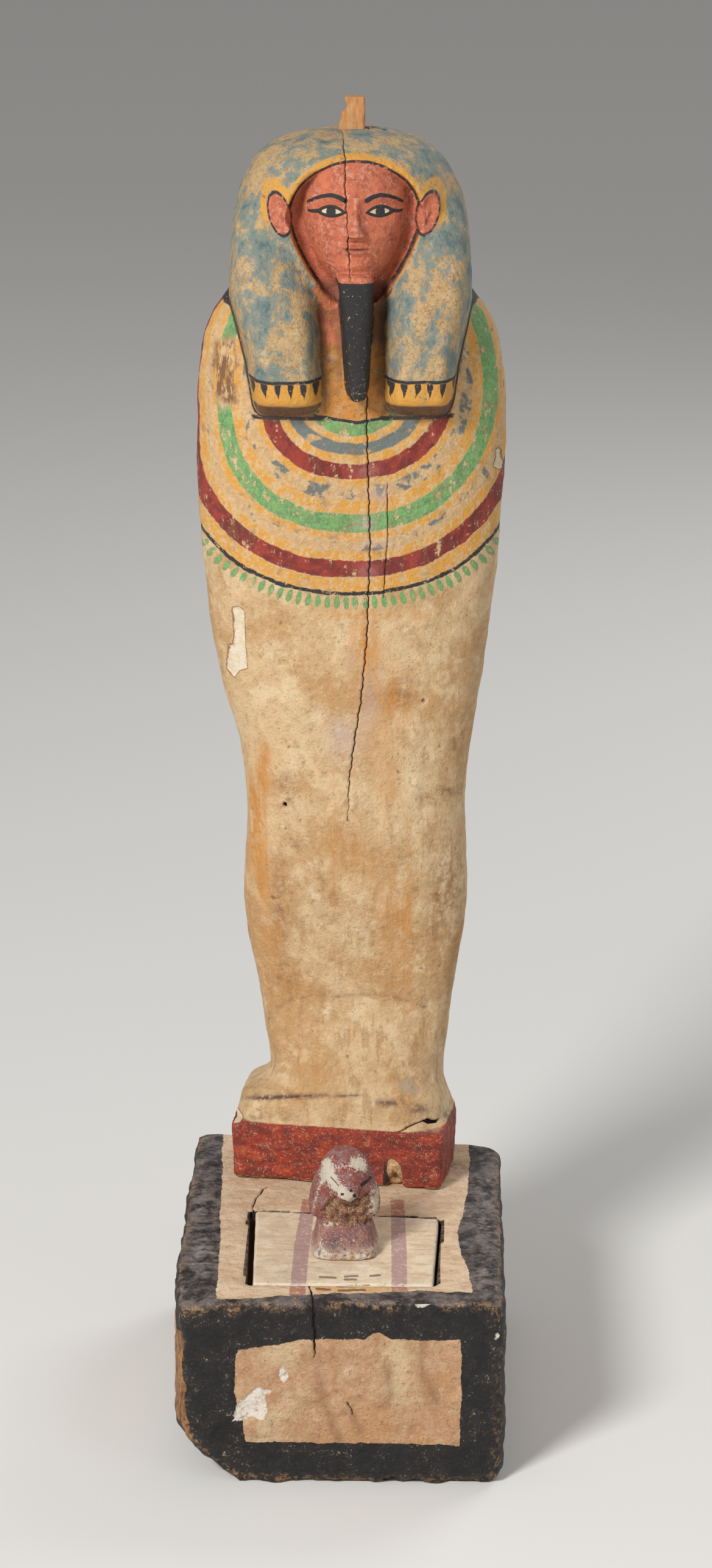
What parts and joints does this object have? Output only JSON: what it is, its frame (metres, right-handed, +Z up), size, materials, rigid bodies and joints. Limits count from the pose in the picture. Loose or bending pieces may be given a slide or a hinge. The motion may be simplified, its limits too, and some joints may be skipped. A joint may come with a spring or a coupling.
{
  "type": "ptah-sokar-osiris funerary figure",
  "caption": "Painted wooden mummiform funerary figure on a hollow plinth with a lift-off lid and a small mummified falcon; crown lost, only its tongue left.",
  "frame": {"origin": "centre of the plinth's underside", "axes": "+Z up along the figure, -Y towards the front with the lid and the falcon, +X to the right seen from the front"},
  "size_m": [0.157, 0.2218, 0.6286],
  "materials": {
    "painted_figure": "matt painted ground over wood, cracked and worn, with bands of colour",
    "bare_wood": "bare worn wood, tan to orange",
    "painted_plinth": "black painted borders round pale panels, rubbed and chipped",
    "painted_lid": "thin grey-beige paint with two mauve stripes",
    "painted_falcon": "mauve and red paint with white losses and a rough brown breast"
  },
  "bodies": {
    "root": {"figure": "painted_figure", "crown_tenon": "bare_wood", "plinth": "painted_plinth", "compartment_lid": "painted_lid", "falcon": "painted_falcon"}
  },
  "joints": []
}
